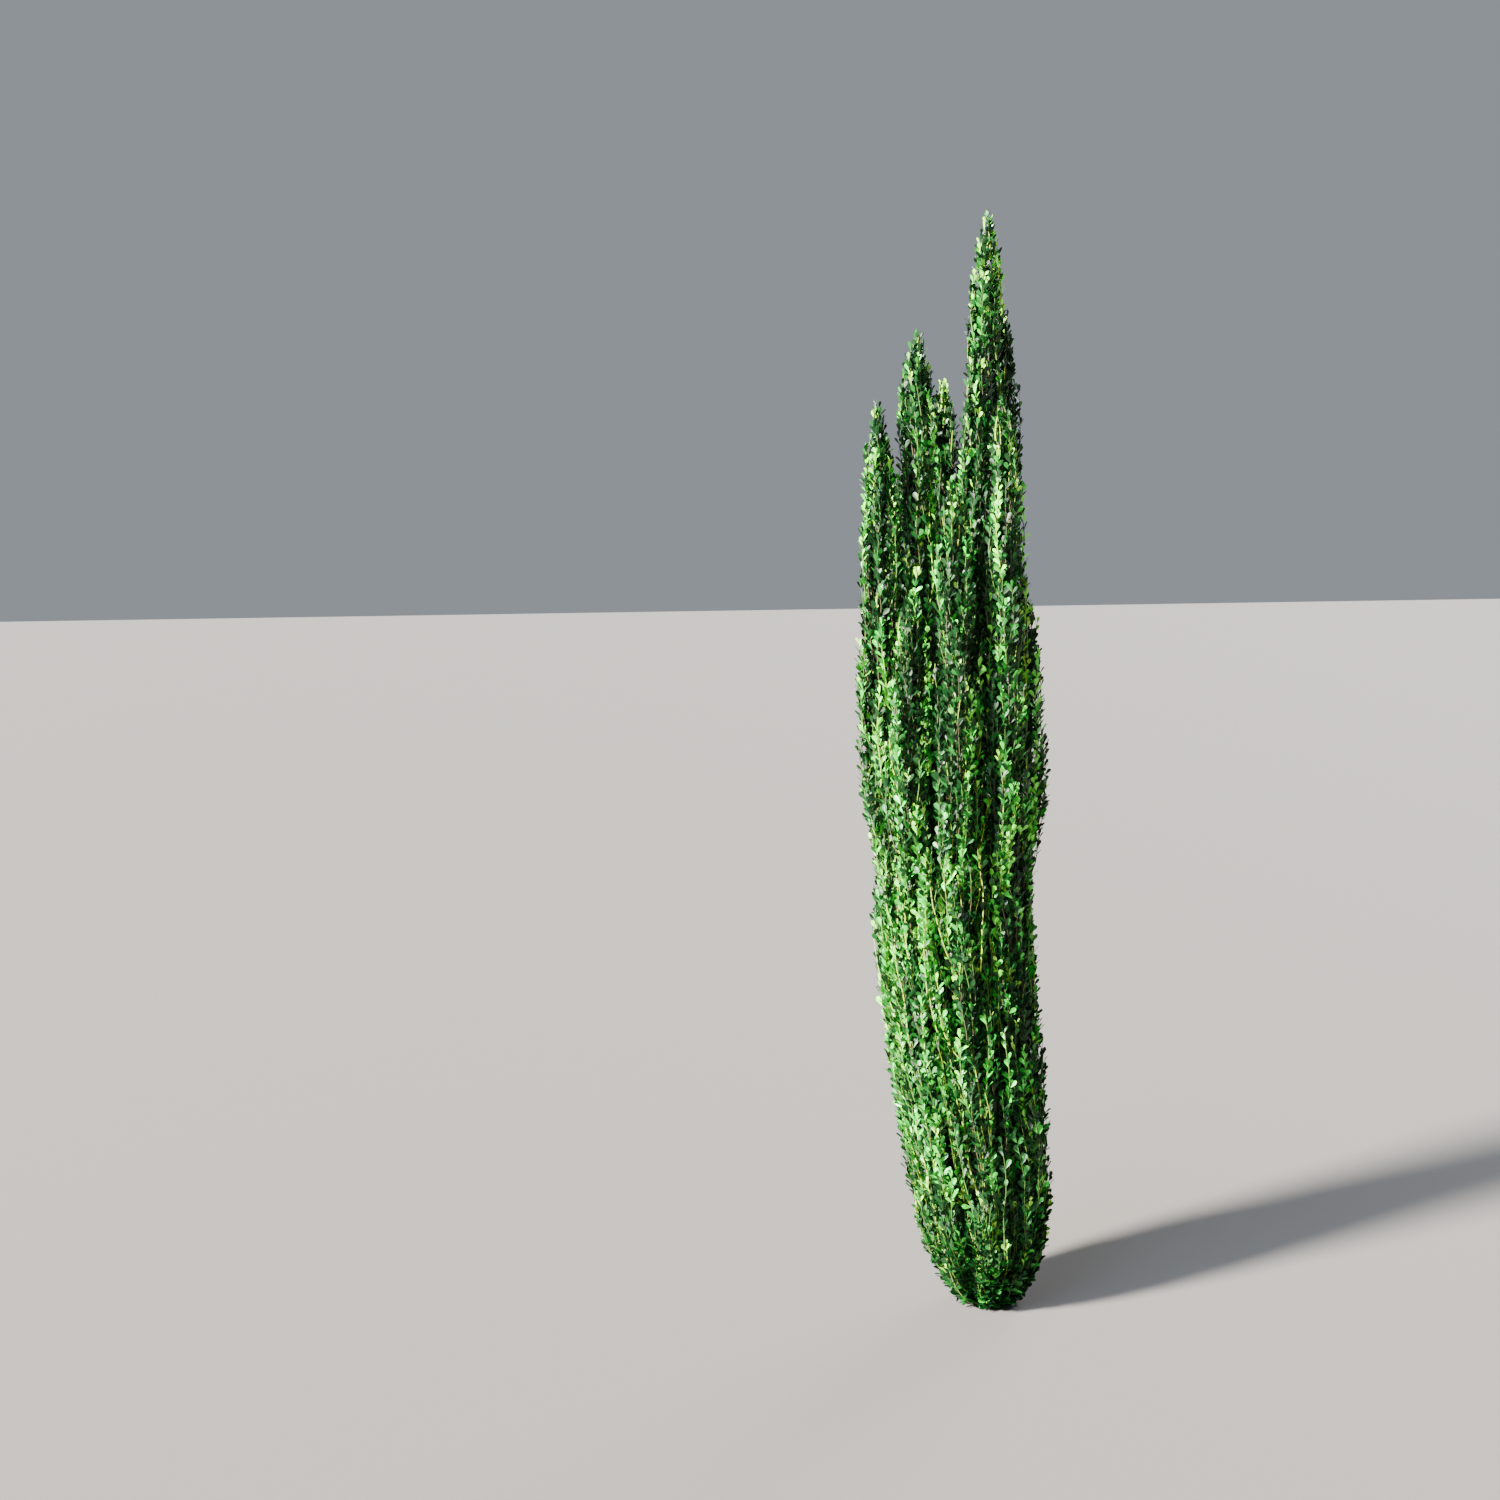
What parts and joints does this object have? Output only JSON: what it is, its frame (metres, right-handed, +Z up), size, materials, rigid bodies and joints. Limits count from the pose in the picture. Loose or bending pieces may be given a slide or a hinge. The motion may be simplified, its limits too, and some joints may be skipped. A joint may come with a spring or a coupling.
{
  "type": "columnar holly",
  "caption": "Narrow columnar evergreen holly: steep upright stems from a short trunk, clothed from the ground to uneven pointed tops in small glossy leaves.",
  "frame": {"origin": "centre of the trunk's flat cut, at ground level", "axes": "+Z up; -Y towards the side seen in the picture; +X to that view's right"},
  "size_m": [0.4146, 0.391, 2.4],
  "materials": {
    "bark": "thin grey-brown bark, smooth with small corky spots",
    "foliage": "small glossy dark green leaves, lighter on the new growth"
  },
  "bodies": {
    "root": {"trunk": "bark", "bough_leader": "bark", "bough_second": "bark", "bough_middle_left": "bark", "bough_right": "bark", "bough_front_right": "bark", "bough_front": "bark", "bough_front_left": "bark", "bough_left": "bark", "bough_back_left": "bark", "bough_back": "bark", "bough_back_right": "bark", "foliage_leader": "foliage", "foliage_second": "foliage", "foliage_middle_left": "foliage", "foliage_right": "foliage", "foliage_front_right": "foliage", "foliage_front": "foliage", "foliage_front_left": "foliage", "foliage_left": "foliage", "foliage_back_left": "foliage", "foliage_back": "foliage", "foliage_back_right": "foliage", "foliage_foot_1": "foliage", "foliage_foot_2": "foliage", "foliage_foot_3": "foliage", "foliage_foot_4": "foliage", "foliage_foot_5": "foliage", "foliage_foot_6": "foliage", "foliage_foot_7": "foliage"}
  },
  "joints": []
}
